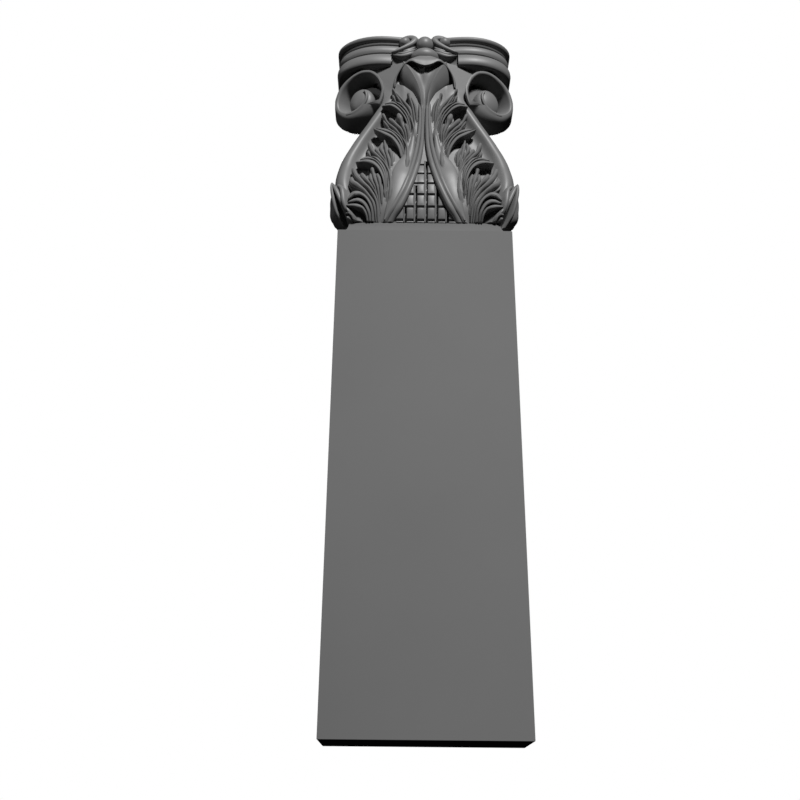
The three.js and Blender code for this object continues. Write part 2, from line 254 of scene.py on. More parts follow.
def skin(sides, steps, place):
    bm = bmesh.new()
    bmesh.ops.create_grid(bm, x_segments=sides, y_segments=steps, size=0.5)
    for corner in bm.verts:
        corner.co = place(round((corner.co.x + 0.5) * sides), corner.co.y + 0.5)
    return bm


def shut(bm):
    bmesh.ops.remove_doubles(bm, verts=bm.verts, dist=weld)
    bmesh.ops.holes_fill(bm, edges=bm.edges, sides=0)
    bmesh.ops.recalc_face_normals(bm, faces=bm.faces)
    loose = sum(not edge.is_manifold for edge in bm.edges)
    if loose:
        print("  open edges:", loose)
    if bm.calc_volume(signed=True) < 0:
        bmesh.ops.reverse_faces(bm, faces=bm.faces)


def handed(bm, hand):
    """The skin as it is for hand 1, or its mirror image for hand -1."""
    if hand < 0:
        bmesh.ops.scale(bm, vec=(-1, 1, 1), verts=bm.verts)
        bmesh.ops.reverse_faces(bm, faces=bm.faces)
    return bm


def mesh_object(bm, name):
    mesh = bpy.data.meshes.new(name)
    bm.to_mesh(mesh)
    return bpy.data.objects.new(name, mesh)


def store(bm, name, both=False):
    shut(bm)
    for hand in (1, -1) if both else (1,):
        forms.append(mesh_object(handed(bm, hand), name))
    bm.free()


print("helpers ready, seams closer than", weld, "mm are welded")

# %% [markdown]
# Two more helpers: one makes a path through points, and one joins a form with others or
# cuts it by them, all at once.

# %% Helpers for paths and cuts
def through(points):
    """A path through points, read by its share of the length: the spot and the heading."""
    reach = [0.0]
    for before, after in zip(points, points[1:]):
        reach.append(reach[-1] + max((after - before).length, 1e-6))
    curve = smooth([(distance / reach[-1], point) for distance, point in zip(reach, points)])

    def at(share):
        low, high = max(share - 0.01, 0.0), min(share + 0.01, 1.0)
        return curve(share), (curve(high) - curve(low)).normalized()

    return at


def boolean(base, others, operation):
    """The base joined with, or cut by, every object of a list."""
    group = bpy.data.collections.new("others")
    for other in others:
        group.objects.link(other)
    bpy.context.scene.collection.objects.link(base)
    bpy.context.scene.collection.children.link(group)
    step = base.modifiers.new("step", "BOOLEAN")
    step.operation = operation
    step.operand_type = "COLLECTION"
    step.collection = group
    step.solver = "MANIFOLD"
    ready = base.evaluated_get(bpy.context.evaluated_depsgraph_get())
    result = bpy.data.meshes.new_from_object(ready)
    for used in others + [base]:
        bpy.data.meshes.remove(used.data)
    bpy.data.collections.remove(group)
    return result


print("paths, joins and cuts ready")

# %% [markdown]
# A strand is the carver's basic stroke: a rounded roll along a path, with a foot that
# reaches down into the block. Two strands side by side leave a sharp V between them, just
# as a parting tool does, so a leaf with its veins is a fan of strands. `flame` is the
# outline of one vein: slender at the root, full near the end, drawn out to a point.

# %% Strands
plain_crown, plain_steps = 6, 14


def strand(path, width, rise, root=7.0, out=front, crown=plain_crown, steps=plain_steps,
           foot=0.8, lean=0.0):
    def place(i, t):
        spot, heading = path(t)
        side = heading.cross(out).normalized()
        half = width(t) / 2
        if i <= crown or i == crown + 3:
            turn = math.pi * (i % (crown + 3)) / crown
            across = math.cos(turn) + lean * math.sin(turn)
            up = rise(t) * math.sin(turn)
        else:
            across = foot * (-1 if i == crown + 1 else 1)
            up = -root * min(1.0, half / 1.5)
        return spot + side * (across * half) + out * up

    return skin(crown + 3, steps, place)


def flame(full, slender=0.5):
    def at(t):
        return full * (slender + (1.25 - slender) * t) * math.sqrt(max(0.0, 1 - t**6))
    return at


def even(full, end=1.0):
    return lambda t: full * (1 + (end - 1) * t)


def bell_path(spots):
    return through([on_bell(*spot) for spot in spots])


print("a plain strand has", (plain_crown + 3) * plain_steps, "faces on its sides")

# %% [markdown]
# ## Bell
# The bell is the swelling block that all leaves lie on. Seen from the front it is pear
# shaped, and its edge is a round ridge with a shallow channel inside it. It is one skin:
# at each height its section runs along the front, back along one side, over the flat
# back against the wall and forward along the other side.

# %% The bell
front_columns = 56
side_columns = 7
bell_rows = 66
ridge_end, fade = 118, 22
flat_half, shoulder_lean = 20, 0.36
edge_relief = smooth([
    (0, -6), (0.8, -3.4), (2.2, -1.0), (4.5, 1.1), (7.6, 2.2), (10.8, 1.3),
    (14, -1.2), (18, -2.8), (24, -2.8), (31, -1.6), (42, -0.4), (90, 0),
])


def bell_section(i, height):
    half, face = bell_half(height), bell_front(height)
    ridge_share = 1 - min(max((height - ridge_end) / fade, 0), 1)
    if i <= front_columns:
        across = 1 - 2 * i / front_columns
        x = math.copysign(abs(across) ** 0.8, across) * half
        shoulder = shoulder_lean * (1 - ridge_share) * max(0.0, abs(x) - flat_half)
        return x, face + shoulder - edge_relief(half - abs(x)) * ridge_share
    side = i - front_columns
    shoulder = shoulder_lean * (1 - ridge_share) * (half - flat_half)
    edge_y = face + shoulder - edge_relief(0) * ridge_share
    if side <= side_columns:
        return -half, edge_y + (wall - edge_y) * side / side_columns
    return half, wall - (wall - edge_y) * (side - side_columns - 1) / side_columns


def bell_place(i, t):
    height = t * (bell_height + 1.5)
    around = front_columns + 2 * side_columns + 1
    x, y = bell_section(i % around, height)
    return Vector((x, y, bed + height))


bell = skin(front_columns + 2 * side_columns + 1, bell_rows, bell_place)
shut(bell)
print("bell:", len(bell.faces), "faces")

# %% [markdown]
# ## Volutes
# Each volute is a band that rolls up in one slow turn, its face turned outward and a
# little down. The roll goes straight back and is then drawn in towards the wall, and its
# underside is rounded over to the bell. The deep recess inside the turn follows the
# volute's own axis, so it is cut out of the roll as a second form, which also cuts the bell.

# %% The volute's face and spiral
outward_turn, down_turn = math.radians(30), math.radians(10)
face_out = Vector((math.sin(outward_turn), -math.cos(outward_turn), -math.tan(down_turn)))
face_out.normalize()
face_across = Vector((0, 0, 1)).cross(face_out).normalized()
face_up = face_out.cross(face_across)
volute_centre = Vector((65.3, -20.5, 567.0))
first_turn = -32
spiral = smooth([
    (-32, 31), (-4, 32.2), (13, 31.2), (42, 29.9), (68, 27.2), (103, 23.0), (152, 21.4),
    (194, 21.8), (225, 19.6), (269, 15.8), (314, 14.9), (351, 14.6), (385, 13),
])
rounding = smooth([(-32, 0), (180, 0), (215, 2), (245, 5.5), (269, 7.5), (295, 11), (328, 17)])


def ray_out(degrees):
    turn = math.radians(180 - degrees)
    return face_across * math.cos(turn) + face_up * math.sin(turn)


def on_face(degrees, radius, depth=0.0):
    """A spot on the volute's turned face, or so deep behind it along its axis."""
    return volute_centre + ray_out(degrees) * radius - face_out * depth


print("the band starts", spiral(first_turn), "mm from the volute's centre")

# %% [markdown]
# The rows of the roll are pairs: how far back, and how far off the spiral. Those that draw
# it in say where in depth they stand and how small it has become there. The recess follows
# the same spiral, further in by the width of the lip.

# %% The roll and its recess
lip_width, recess_depth = 4.0, 20.0
roll_sides, recess_sides = 60, 48
recess_start, recess_turn = -24, 330
roll_rows = [(0, -1.3), (0.4, -0.4), (1.3, 0), (2.5, 0), (4.5, 0), (7, 0), (10, 0), (15, 0)]
draw_in = [(4, 0.97), (8, 0.89), (12, 0.78), (20, 0.57), (wall, 0.33)]
back_x, back_z = 60, 575


def roll_place(i, t):
    degrees = first_turn + 360 * (i % roll_sides) / roll_sides
    row = round(t * (len(roll_rows) + len(draw_in) - 1))
    back, inset = roll_rows[min(row, len(roll_rows) - 1)]
    grown = rounding(degrees) * math.sqrt(1 - (1 - back / roll_rows[-1][0]) ** 2)
    spot = on_face(degrees, spiral(degrees) + inset + grown) + Vector((0, back, 0))
    if row < len(roll_rows):
        return spot
    depth, size = draw_in[row - len(roll_rows)]
    spot.y = max(depth, spot.y)
    spot.x = back_x + (spot.x - back_x) * (0.4 + 0.6 * size)
    spot.z = back_z + (spot.z - back_z) * (size if spot.z < back_z else 1)
    return spot


recess_rows = [(-6, 2.4), (0, 2.4), (0.5, 3.3), (1.6, lip_width), (recess_depth, lip_width + 5)]


def recess_place(i, t):
    degrees = recess_start + recess_turn * (i % recess_sides) / recess_sides
    depth, inset = recess_rows[round(t * (len(recess_rows) - 1))]
    return on_face(degrees, spiral(degrees) - inset, depth)


def volute_recess():
    cutter = skin(recess_sides, len(recess_rows) - 1, recess_place)
    shut(cutter)
    return cutter


for hand in (1, -1):
    roll = skin(roll_sides, len(roll_rows) + len(draw_in) - 1, roll_place)
    shut(roll)
    recess = mesh_object(handed(volute_recess(), hand), "recess")
    roll_mesh = boolean(mesh_object(handed(roll, hand), "roll"), [recess], "DIFFERENCE")
    forms.append(bpy.data.objects.new("volute_roll", roll_mesh))
print("a roll:", len(roll_mesh.polygons), "faces")

# %% [markdown]
# The smooth eye is a dome on a round boss, and the band ends in a lip that winds round it.
# A second, wider boss stands behind it in the recess.

# %% The eye, its bosses and the end of the band
eye_radius, eye_height = 12.6, 7.0
eye_centre = volute_centre - (face_across + face_up) * 4.0
eye = bmesh.new()
bmesh.ops.create_uvsphere(eye, u_segments=40, v_segments=20, radius=1)
eye_sides = (face_across * eye_radius, face_up * eye_radius * 1.06, face_out * eye_height)
turned = Matrix(eye_sides).transposed()
for corner in eye.verts:
    corner.co = turned @ corner.co + eye_centre - face_out * eye_height
store(eye, "volute_eye", True)
boss_sides = 40


def boss(centre, radius, near, far):
    def place(i, t):
        turn = 2 * math.pi * (i % boss_sides) / boss_sides
        ray = face_across * math.cos(turn) + face_up * math.sin(turn)
        depth, inset = [(near, 0.8), (near + 0.8, 0), (far, 0)][round(2 * t)]
        return centre + ray * (radius - inset) - face_out * depth

    store(skin(boss_sides, 2, place), "volute_boss", True)


boss(eye_centre, eye_radius, eye_height - 0.9, recess_depth + 2)
boss(eye_centre - face_across * 4, 17.0, 12.0, recess_depth + 2)

band_end = through([
    on_face(degrees, spiral(degrees) - 1.7, 0.6) for degrees in range(235, 386, 15)
])
band_width = smooth([(0, 3.2), (0.6, 2.6), (0.9, 1.8), (1, 0.4)])
store(strand(band_end, band_width, even(1.0, 0.6), root=9, out=face_out, steps=36),
      "volute_lip", True)
print("forms so far:", len(forms))

# %% [markdown]
# ## Lattice
# The wedge between the two ribs is cut into a lattice. Narrow grooves are cut out of the
# bell, six millimetres deep, and a thin rod stays beside each upright one. A low pillow
# on each cell gives it the worn, soft look of the real one. The same cut takes out the
# volutes' recesses and the shallow alcove that keeps the ground dark round the petals.

# %% Lattice grooves and cells
columns = [-18.2, -9.0, 0.2, 9.4, 18.6]
rows = [2.1, 13.0, 24.3, 35.4, 47.0, 58.0]
groove, row_groove, groove_depth, lattice_top = 1.9, 2.3, 6.0, 62
rod_edge, cell_edge = 0.7, 0.6
cutter_front = -60
rib_inner = smooth([(0, 29.4), (12.5, 18.6), (32.2, 10.1), (56.7, 3.9), (69.5, 0.5), (75, 0)])


def groove_cutter(low, high, left, right, steps):
    def place(i, t):
        height = low + (high - low) * t
        x = right if i % 4 in (0, 1) else left
        y = bell_front(height) + groove_depth if i % 4 in (1, 2) else cutter_front
        return Vector((x, y, bed + height))

    cutter = skin(4, steps, place)
    shut(cutter)
    return cutter


def groove_top(column):
    """How high an upright groove climbs before it meets the rib."""
    return min(lattice_top, next(h for h in range(80) if rib_inner(h) <= abs(column) + 1))


cutters = []
for column in columns:
    start = column + rod_edge
    cutters.append(groove_cutter(-1, groove_top(column), start, start + groove, 14))
for row in rows:
    half = rib_inner(row) + 1.5
    cutters.append(groove_cutter(row - row_groove / 2, row + row_groove / 2, -half, half, 1))
cutters += [volute_recess(), handed(volute_recess(), -1)]

under_hood = smooth([
    (116, 1.5), (123, 4.0), (129, 6.2), (134.6, 10.0), (138.2, 14.4), (141.7, 19.4), (144.1, 24),
    (146.5, 26.6), (149.2, 26.2), (153, 24.8), (157, 22), (163, 20),
])
alcove_low, alcove_high, alcove_depth = 116, 162, 5.5


def alcove_place(i, t):
    height = alcove_low + (alcove_high - alcove_low) * t
    x = under_hood(height) * (1 if i % 4 in (0, 1) else -1)
    y = bell_front(height) + alcove_depth if i % 4 in (1, 2) else cutter_front
    return Vector((x, y, bed + height))


alcove = skin(4, 30, alcove_place)
shut(alcove)
cutters = [mesh_object(cutter, "cutter") for cutter in cutters + [alcove]]
bell_mesh = boolean(mesh_object(bell, "bell"), cutters, "DIFFERENCE")
print("lattice and alcove cut:", len(bell_mesh.polygons), "faces")

# %% [markdown]
# With the grooves cut, the rods and the pillows are laid on. A cell that would lie wholly
# outside the ribs is left out.

# %% Rods and pillows
def puff(t):
    return 0.15 + 0.5 * math.sin(math.pi * t) ** 0.5


for column in columns:
    high = groove_top(column)
    rod = bell_path([(column, -1, 0), (column, high / 2, 0), (column, high, 0)])
    store(strand(rod, even(1.3), even(0.9), root=4.5, crown=4, steps=16), "rod")
for left, right in zip([-27.4] + columns, columns + [27.8]):
    for low, high in zip([-9] + rows, rows):
        if min(abs(left), abs(right)) > rib_inner(low) + 1 and left * right > 0:
            continue
        start, end = left + rod_edge + groove, right - cell_edge
        middle, inset = (start + end) / 2, row_groove / 2
        pillow = bell_path([(middle, low + inset, 0), (middle, high - inset, 0)])
        store(strand(pillow, even(end - start), puff, root=1.5, crown=8, steps=8, foot=0.9),
              "cell")
print("forms so far:", len(forms))

# %% [markdown]
# ## Ribs and blades
# Two ribs rise from the bed, meet above the lattice and run up to the petals under the
# hood. Each rib is a pair of rolls with a thin groove between them. Outside it lies the
# smooth blade of the leaf, a broad flat roll.

# %% Ribs and blades
outer_roll = bell_path([
    (37, -2, -3.5), (33, 4, -0.5), (27, 12, 1.5), (18.3, 29, 2), (11.2, 54, 2),
    (7, 75, 2), (5, 92, 2), (4.2, 106, 1.4), (4.2, 116, 0.4), (4.6, 124, -2.5),
])
inner_roll = bell_path([
    (32.4, -2, -3.5), (28, 5, -0.5), (21.8, 12.5, 1.8), (12.6, 33, 2), (6.2, 58, 2),
    (3, 77, 2), (2, 95, 2), (1.9, 108, 1.6), (2.1, 118, 0.8), (2.6, 126, -2.5),
])
store(strand(outer_roll, even(5.6, 0.5), even(3.2, 0.8), steps=44), "rib_outer", True)
store(strand(inner_roll, even(6.6, 0.4), even(3.4, 0.8), steps=48), "rib_inner", True)

blade_width = smooth([(0, 2), (0.12, 8), (0.3, 13), (0.5, 16), (0.62, 13), (0.75, 8), (1, 3)])
blade = bell_path([
    (35, 1, 0.5), (27, 19, 1.5), (21.5, 42, 2), (18.5, 56, 2), (13, 70, 1.6), (9.5, 92, 1),
])
store(strand(blade, blade_width, even(2.3), crown=10, steps=30), "blade", True)
print("forms so far:", len(forms))

# %% [markdown]
# The two petals and the trough between them are one skin, like a half open fan. Three
# lines carry it: the petal's outer edge, which dives under the leaf's ground, its crest,
# and the bottom of the trough. The section swells between the edge and the crest and
# hollows from the crest to the middle.

# %% The fan of the petals
petal_edge = bell_path([
    (3.2, 100, 1.2), (3.6, 113, 1.2), (4.4, 123, 1), (6.6, 129, 0), (10.4, 134.6, -1),
    (14.2, 138.2, -1.5), (18, 142.2, -2.6), (21.6, 146.4, -3.8), (24, 151, -5),
])
petal_crest = bell_path([
    (2.2, 100, 2.5), (2.4, 116, 3.6), (3.0, 126.9, 4.6), (4.0, 132, 5), (5.9, 137.6, 6),
    (8.4, 143, 7), (12.2, 150, 7.8), (16, 156, 7.4), (20, 162, 6),
])
trough = bell_path([(0, 100, 0.6), (0, 120, 0.6), (0, 140, 2), (0, 152, 5), (0, 163, 7)])
petal_steps, trough_steps = 9, 9
half_count = petal_steps + trough_steps


def fan_half(i, t):
    edge, crest, floor_spot = petal_edge(t)[0], petal_crest(t)[0], trough(t)[0]
    if i <= petal_steps:
        share = i / petal_steps
        swell = 1.9 * t ** 0.7 * math.sin(math.pi * share ** 0.8)
        return edge.lerp(crest, share) + front * swell
    share = (i - petal_steps) / trough_steps
    hollow = 0.16 * (crest - floor_spot).length * math.sin(math.pi * share)
    lip_rise = 0.5 * math.exp(-(((share - 0.12) / 0.07) ** 2))
    return crest.lerp(floor_spot, share) - front * hollow + front * lip_rise


def fan_place(i, t):
    i %= 2 * half_count + 3
    if i <= half_count:
        return fan_half(i, t)
    if i <= 2 * half_count:
        spot = fan_half(2 * half_count - i, t)
        return Vector((-spot.x, spot.y, spot.z))
    hand = -1 if i == 2 * half_count + 1 else 1
    edge = petal_edge(t)[0]
    return Vector((hand * edge.x * 0.95, edge.y + 12, edge.z))


store(skin(2 * half_count + 3, 60, fan_place), "petals")
print("forms so far:", len(forms))

# %% [markdown]
# ## Leaf lobes
# Four lobes climb each side of the leaf. Every lobe has a group of veins that end in an
# upright flame, a small inner tip, and a lower leaflet that hooks outward like a wave and
# stands so far off the ground that the space under it stays black. All are strands, given
# by the spots that they run through: millimetres from the middle, above the bed, and off
# the face. A vein is as wide as the room that its neighbours leave it, so a fan of veins
# closes up at its root and opens towards the tips by itself.

# %% The ways of the veins
lobes = [
    # top lobe: flames, then waves
    ([
        [(11, 78, 1), (9.3, 90, 2), (11, 101, 3), (16, 113, 3.5), (22.5, 122.5, 4), (30, 136, 4)],
        [(9.5, 97, 1), (13.6, 114, 3), (19.6, 122.6, 3.5), (26.5, 131, 4)],
        [(12, 92, 1), (18.5, 109.6, 3), (24.7, 118.5, 3.5), (29.8, 129.5, 3.5)],
        [(8.5, 98, 1), (11, 117, 2.5), (15.6, 132, 3.5)],
        [(6.8, 103, 1), (8.8, 118, 2.2), (12.6, 127.5, 3)],
    ], [
        [(12.2, 88, 1.5), (16.5, 103.5, 4), (23, 112, 6), (30.5, 116.4, 6.6), (39.2, 116, 6)],
        [(11.3, 93, 1.5), (16, 107.5, 4.2), (22.6, 115.8, 5.6), (29, 119.6, 5.8),
         (36.5, 118.6, 5.6)],
        [(10.8, 95, 1), (14.6, 110, 3.4), (20.6, 118, 4.6), (27.5, 122.2, 4.8)],
    ]),
    # second lobe: flames, then waves
    ([
        [(18.5, 38, 1), (16, 54, 2.2), (15.2, 68, 3), (17, 79, 3.5), (25.5, 92, 4),
         (33.5, 100, 4), (38.6, 110, 4)],
        [(18.5, 78, 1), (25.5, 88, 3), (32, 94.6, 3.5), (37.8, 103, 3.5)],
        [(16.8, 82, 1), (20.5, 92, 3), (27, 99, 3.5), (32.5, 105, 3.5)],
        [(16.2, 80, 1), (17.4, 91, 2.5), (20.5, 99, 3.2), (24.3, 110, 3.5)],
        [(14.8, 82, 1), (15.2, 92, 2), (17.6, 100.5, 2.8)],
    ], [
        [(18.8, 62, 1.5), (22.4, 74, 4), (28.2, 82.6, 6), (36.4, 87.4, 6.8), (46.4, 92.6, 6.2)],
        [(17.8, 69, 1.5), (21.8, 79.4, 4.4), (28.2, 87.6, 5.8), (35.8, 91.2, 6), (43.8, 93, 6)],
        [(17, 75, 1), (21, 84, 3.4), (27.5, 90.6, 4.6), (34, 94.6, 4.8)],
    ]),
    # third lobe: flames, then waves
    ([
        [(33, 4, 1), (29.8, 26, 2.4), (30.8, 42, 3.2), (35.2, 55, 4), (41, 62.3, 4.2),
         (46.5, 68.5, 4.4), (50.6, 80, 4.4)],
        [(32.5, 32, 1), (36.5, 47.5, 3.5), (42, 56.8, 4.2), (48.5, 63.5, 4.2), (51, 70, 4)],
        [(31, 47, 1), (35.6, 59, 3.4), (40.5, 66, 4), (44.5, 72.5, 4)],
        [(30.6, 48, 1), (32, 60, 2.8), (34, 68, 3.5), (36.4, 83, 4)],
        [(32.5, 54, 1), (35.6, 64, 3.2), (38.8, 71.5, 3.8), (37.6, 80, 3.8)],
        [(29, 55, 0.5), (29.8, 66, 2.2), (32.2, 74, 3)],
    ], [
        [(34, 20, 1.5), (35.8, 35, 4.4), (39.6, 46.2, 6.4), (45.2, 53, 7.2),
         (52.8, 55.4, 7.2), (61.4, 54.6, 6.4)],
        [(33, 27, 1.5), (35.2, 41, 4.6), (38.8, 51, 6), (44, 57.4, 6.6),
         (50.6, 59.6, 6.6), (57.6, 57.6, 6.4)],
        [(32.2, 33, 1), (34.6, 46.5, 3.8), (38.2, 55, 5), (43.4, 61, 5.4), (49.6, 62.8, 5.4)],
    ]),
    # lowest lobe, with two small curls at the bed: flames, then waves
    ([
        [(40.5, -2, 1), (42.4, 15, 2.8), (48.2, 25.2, 4), (54.8, 31.4, 4.4),
         (60, 38.5, 4.5), (63.8, 49, 4.5)],
        [(39.2, 6, 1), (42.2, 21, 2.8), (47.4, 29.8, 3.8), (52.3, 35.4, 4), (56.2, 42.5, 4)],
        [(42, -2, 1), (45.2, 13.5, 3.4), (51.7, 22.6, 4.2), (58.4, 27.6, 4.4),
         (63.4, 31.8, 4), (64.3, 38.5, 3.6)],
        [(38.6, 8, 1), (41.2, 27, 3), (43.8, 36.5, 3.8), (47, 50, 4)],
        [(37.2, 14, 1), (38.7, 28, 2.2), (40, 36, 2.8), (42.3, 43.5, 3.2)],
        [(39.8, 12, 1), (43.6, 27.5, 3.2), (47.2, 35, 3.8), (47.8, 43, 3.8)],
    ], [
        [(49, -3, 1.5), (50.2, 4, 3), (53.6, 8.8, 4.2), (60, 10.8, 4.6), (68.6, 10.9, 4.4)],
        [(46.8, -3, 1.5), (48.2, 5.6, 3.4), (52.2, 12.2, 4.6), (58.2, 15.2, 5), (67, 13.4, 4.8)],
        [(44.4, -3, 1.5), (46, 9, 3.6), (50, 16.6, 4.8), (56, 20.8, 5.2), (62, 20.6, 5),
         (67, 15.8, 5)],
        [(58.6, -3, 1.5), (62.2, 3.0, 3.2), (65.6, 5.4, 3.6), (69, 4.6, 3.4)],
        [(62, -3, 1), (65.2, 1.4, 2.6), (68, 2.6, 2.8)],
    ]),
]
print("veins to lay on each side:", sum(len(flames + waves) for flames, waves in lobes))

# %% [markdown]
# A lobe is laid from the lists above. For each vein, the distance to the nearest other one
# is measured along its way and gives its width. Its root is sunk into the ground, and its
# tip is drawn out to a point. Under each flame vein lies a flatter and wider bed, which
# closes the leaf between its veins.

# %% Lay the veins
vein_samples, crowd_samples = 24, 40
sunk_root = -2.0
far_off = 9.0
bed_depth, bed_share = 1.0, 2.0


def room_beside(path, others):
    """How far the nearest other vein is, for a few places along the path."""
    found = []
    for step in range(vein_samples + 1):
        spot = path(step / vein_samples)[0]
        near = far_off
        for other in others:
            for place in other:
                near = min(near, math.hypot(spot.x - place.x, spot.z - place.z))
        found.append(near)
    eased = []
    for step in range(vein_samples + 1):
        around = found[max(0, step - 1):step + 2]
        eased.append((step / vein_samples, sum(around) / len(around)))
    return smooth(eased)


def lay_veins(flames, waves):
    paths = [bell_path([spots[0][:2] + (sunk_root,)] + spots[1:]) for spots in flames + waves]
    places = [
        [path(step / crowd_samples)[0] for step in range(crowd_samples + 1)] for path in paths
    ]
    for number, path in enumerate(paths):
        wave = number >= len(flames)
        others = places[:number] + places[number + 1:]
        beside = room_beside(path, others)
        widest, lean = (6.6, 0.9) if wave else (6.4, 0.0)

        def width(t, beside=beside, widest=widest):
            spread = 0.92 + 0.9 * max(0.0, t - 0.6)
            full = min(max(spread * beside(t), 1.4), widest, 1.0 + 13 * t)
            return full * math.sqrt(max(0.0, 1 - t**9))

        def rise(t, width=width):
            return 0.4 + 0.7 * width(t)

        def bed_path(t, path=path):
            spot, heading = path(0.97 * t)
            return spot - front * bed_depth, heading

        def bed_width(t, width=width):
            return bed_share * width(0.92 * t) * math.sqrt(max(0.0, 1 - t**5))

        steps = 6 * len((flames + waves)[number])
        if not wave:
            store(strand(bed_path, bed_width, even(0.7), root=9, steps=steps), "vein_bed", True)
        root = 12 if wave else 10
        store(strand(path, width, rise, root=root, steps=steps, lean=lean), "vein", True)


for flames, waves in lobes:
    lay_veins(flames, waves)
print("forms so far:", len(forms))

# %% [markdown]
# ## Corner and side leaves
# A leaf folds round each lower corner: three flutes run up to a point that stands clear of
# the bell, and a short fourth one lies at their foot. The back of the leaf is a shell that
# bulges out and sweeps up towards the wall.

# %% The corner leaf
slant = Vector((1, -1, 0)).normalized()


def corner_path(spots):
    """A path through spots: millimetres from the middle, depth, and height above the bed."""
    return through([Vector((x, y, bed + height)) for x, y, height in spots])


corner_back = corner_path([(60, -13, -3), (67, -17, 8), (75, -23, 21), (81, -28.4, 34.5)])
corner_width = smooth([(0, 10), (0.3, 17), (0.6, 17), (0.85, 10), (0.95, 4.5), (1, 0)])
corner_rise = smooth([(0, 2), (0.5, 3.5), (0.85, 2.5), (1, 0)])
store(strand(corner_back, corner_width, corner_rise, root=12, out=slant, crown=12, steps=22),
      "corner_leaf", True)
corner_flutes = [
    ([(68, -11, -3), (73, -16.5, 3.5), (76.8, -20.8, 9.3), (79.6, -24.8, 18.8),
      (81.2, -27.3, 28.2), (81.8, -29, 36)], 3.6),
    ([(63.4, -14, -3), (67.4, -21, 5.0), (70.0, -25, 9.6), (72.7, -28.4, 15.7),
      (76.6, -29.4, 25.2), (80.8, -29.2, 34)], 4.4),
    ([(60, -17, -3), (66.0, -24, 4.2), (68.7, -28, 8.7), (70.4, -30.4, 14.3),
      (71.4, -31.4, 22.6), (72.6, -31, 28), (76.8, -30, 32.6)], 4.8),
    ([(57, -19, -3), (61.4, -25, 2.0), (65.2, -28.6, 4.4), (68.2, -30, 9)], 2.6),
]
for spots, full in corner_flutes:
    width, rise = flame(full, 0.45), flame(0.62 * full, 0.45)
    store(strand(corner_path(spots), width, rise, out=slant, steps=30), "corner_flute", True)
print("forms so far:", len(forms))

# %% [markdown]
# The shell's rows climb from the bed to the leaf's upper edge, and its columns run from
# the front edge back along the side. Low down it is rounded in, and shallow flutes lean
# back along it.

# %% The corner leaf's shell
leaf_front = smooth([
    (-3, -10), (0, -13), (3.5, -16), (9.3, -20), (18.8, -24), (28.2, -26.6), (35, -28.4),
])
leaf_edge = smooth([
    (-3, 67), (0, 69), (3.5, 72.6), (9.3, 76.4), (18.8, 79.2), (28.2, 80.8), (35, 81.4),
])
leaf_bulge = smooth([
    (-30, 66), (-20, 70), (-14, 74), (-10, 77), (-7, 79), (0, 82), (5, 83.4), (10, 83.8),
    (20, 83.7), (28, 82.9), (38, 81.4),
])
leaf_top = smooth([(0, 35), (0.1, 33), (0.3, 29), (0.5, 26.5), (0.75, 26), (1, 27)])
shell_rows, shell_back, sweep = 18, 16.0, 0.7
foot_x, rounded_height, edge_share = 68, 7, 0.2
flute_depth, flutes, flute_lean = 0.6, 5, 0.8


def shell_place(i, t):
    tall = leaf_top(t)
    i %= shell_rows + 3
    if i <= shell_rows:
        height = tall * i / shell_rows
        y = leaf_front(height) + (shell_back - leaf_front(height)) * t
        full = leaf_bulge(height - sweep * (y + 20)) - 9 * max(0.0, t - 0.6) ** 1.5
        full = foot_x + (full - foot_x) * math.sqrt(min(1.0, height / rounded_height))
        x = leaf_edge(height) + (full - leaf_edge(height)) * min(1.0, t / edge_share) ** 0.5
        wave = math.sin(2 * math.pi * (t * flutes - flute_lean * i / shell_rows))
        fluted = flute_depth * wave * math.sin(math.pi * i / shell_rows)
        return Vector((x + fluted * min(1.0, t / edge_share) - 0.3, y, bed + height))
    if i == shell_rows + 1:
        y = leaf_front(tall) + (shell_back - leaf_front(tall)) * t
        return Vector((bell_half(tall) - 4, max(y, -20), bed + tall - 3))
    return Vector((56, -10 + 26 * t, bed - 0.5))


store(skin(shell_rows + 3, 48, shell_place), "corner_shell", True)
print("forms so far:", len(forms))

# %% [markdown]
# Three plain pointed leaves stand behind the shell, back to the wall. The picture doesn't
# show them, so they repeat the carving in an easier form.

# %% Side leaves
outward = Vector((1, 0, 0))
side_width = smooth([(0, 11), (0.4, 18), (0.75, 14.5), (0.92, 7), (1, 0)])
side_rise = smooth([(0, 1.8), (0.5, 2.8), (0.85, 2.2), (1, 0.2)])


def side_spot(y, height, lift):
    return Vector((bell_half(height) + lift, y, bed + height))


def side_vein_rise(t):
    return 1.1 * math.sqrt(1 - t**6)


for y, height in [(-6, 46), (8, 54), (21, 42)]:
    middle = through([side_spot(y, spot, 0) for spot in (-3, height / 2, height)])
    store(strand(middle, side_width, side_rise, root=6, out=outward, crown=10, steps=18),
          "side_leaf", True)
    for shift, reach in [(-5, 0.74), (0, 0.9), (5, 0.74)]:
        tall = height * reach
        vein = through([
            side_spot(y + 0.7 * shift, -3, 1.0),
            side_spot(y + shift, tall / 2, 1.9),
            side_spot(y + 0.4 * shift, tall, 0.8),
        ])
        store(strand(vein, flame(2.6), side_vein_rise, out=outward, steps=14), "side_vein", True)
print("forms so far:", len(forms))

# %% [markdown]
# ## Abacus
# The abacus is the moulded slab on top. In plan it is bowed forward twice, hollow in the
# middle and round at its corners; in section it is a large roll, a band, a thin bead
# between two grooves, and a smaller roll on top. One skin follows the plan all round, and
# its steps climb the section. The roll is cut away in the middle, where the ornament sits.

